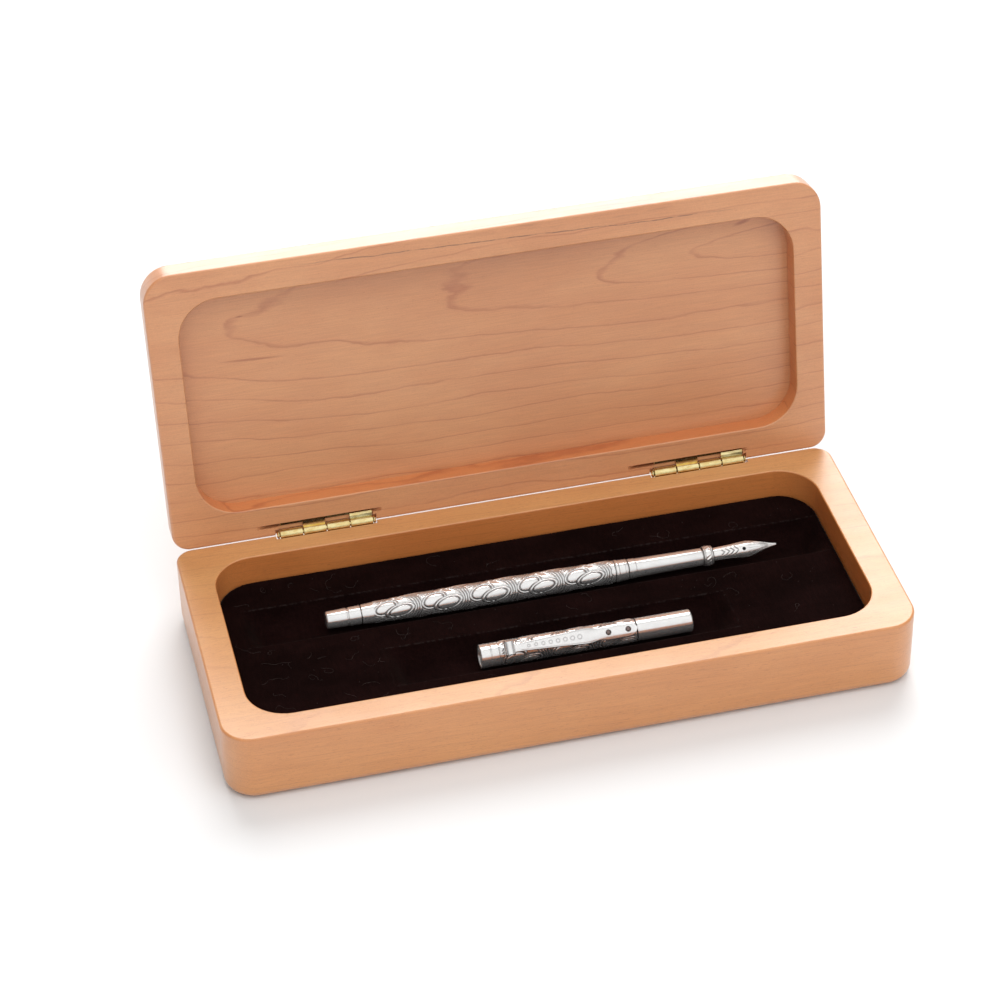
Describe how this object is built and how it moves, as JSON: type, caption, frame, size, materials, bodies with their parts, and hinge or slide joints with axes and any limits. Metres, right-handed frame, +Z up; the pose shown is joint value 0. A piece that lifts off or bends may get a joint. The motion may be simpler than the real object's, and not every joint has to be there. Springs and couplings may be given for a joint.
{
  "type": "fountain pen case",
  "caption": "Rectangular wooden pen case with a recessed hinged lid standing open, a black velvet insert with troughs, and a chased silver fountain pen lying beside its clip cap.",
  "frame": {"origin": "centre of the base's footprint, on the surface it stands on", "axes": "+X along the case's length to the pen's nib end, +Y from the front to the hinged back, +Z up"},
  "size_m": [0.205, 0.1163, 0.1092],
  "materials": {
    "wood": "satin oiled pale alder, straight grain with fine flecks",
    "lid_wood": "satin oiled alder with wavy lengthwise figure",
    "velvet": "short black pile",
    "insert_core": "dense dark foam",
    "brass": "polished, lightly brushed",
    "silver": "polished and chased silver",
    "blackened_silver": "tarnished rivet ends",
    "black_plastic": "moulded, semi-gloss",
    "clear_plastic": "smoke-clear moulded tube"
  },
  "bodies": {
    "base": {"base": "wood", "insert_core": "insert_core", "velvet_lining": "velvet", "left_hinge_base_leaf": "brass", "left_hinge_pin": "brass", "right_hinge_base_leaf": "brass", "right_hinge_pin": "brass"},
    "lid": {"lid": "lid_wood", "left_hinge_lid_leaf": "brass", "right_hinge_lid_leaf": "brass"},
    "pen": {"pen_barrel": "silver", "barrel_end_plug": "silver", "barrel_trim_ring": "silver", "grip_section": "silver", "section_collar": "silver", "nib": "silver", "feed": "black_plastic", "converter_tube": "clear_plastic", "converter_piston": "black_plastic", "converter_knob": "black_plastic"},
    "cap": {"cap_tube": "silver", "cap_crown": "silver", "cap_liner": "black_plastic", "clip_rivet_front": "blackened_silver", "clip_rivet_rear": "blackened_silver"},
    "clip": {"clip": "silver"}
  },
  "joints": [
    {"name": "lid_hinge", "type": "hinge", "parent": "base", "child": "lid", "pos_m": [0, 0.0439, 0.02315], "axis": [1, 0, 0], "range_deg": [0, 101.8]},
    {"name": "pen_lift", "type": "slide", "parent": "base", "child": "pen", "axis": [0, 0, 1], "range_m": [0, 0.012]},
    {"name": "cap_lift", "type": "slide", "parent": "base", "child": "cap", "axis": [0, 0, 1], "range_m": [0, 0.009]},
    {"name": "clip_flex", "type": "hinge", "parent": "cap", "child": "clip", "pos_m": [0.0186, -0.01673, 0.01564], "axis": [0, 0.766, 0.6428], "range_deg": [0, 2], "stiffness_Nm_per_rad": 3}
  ]
}
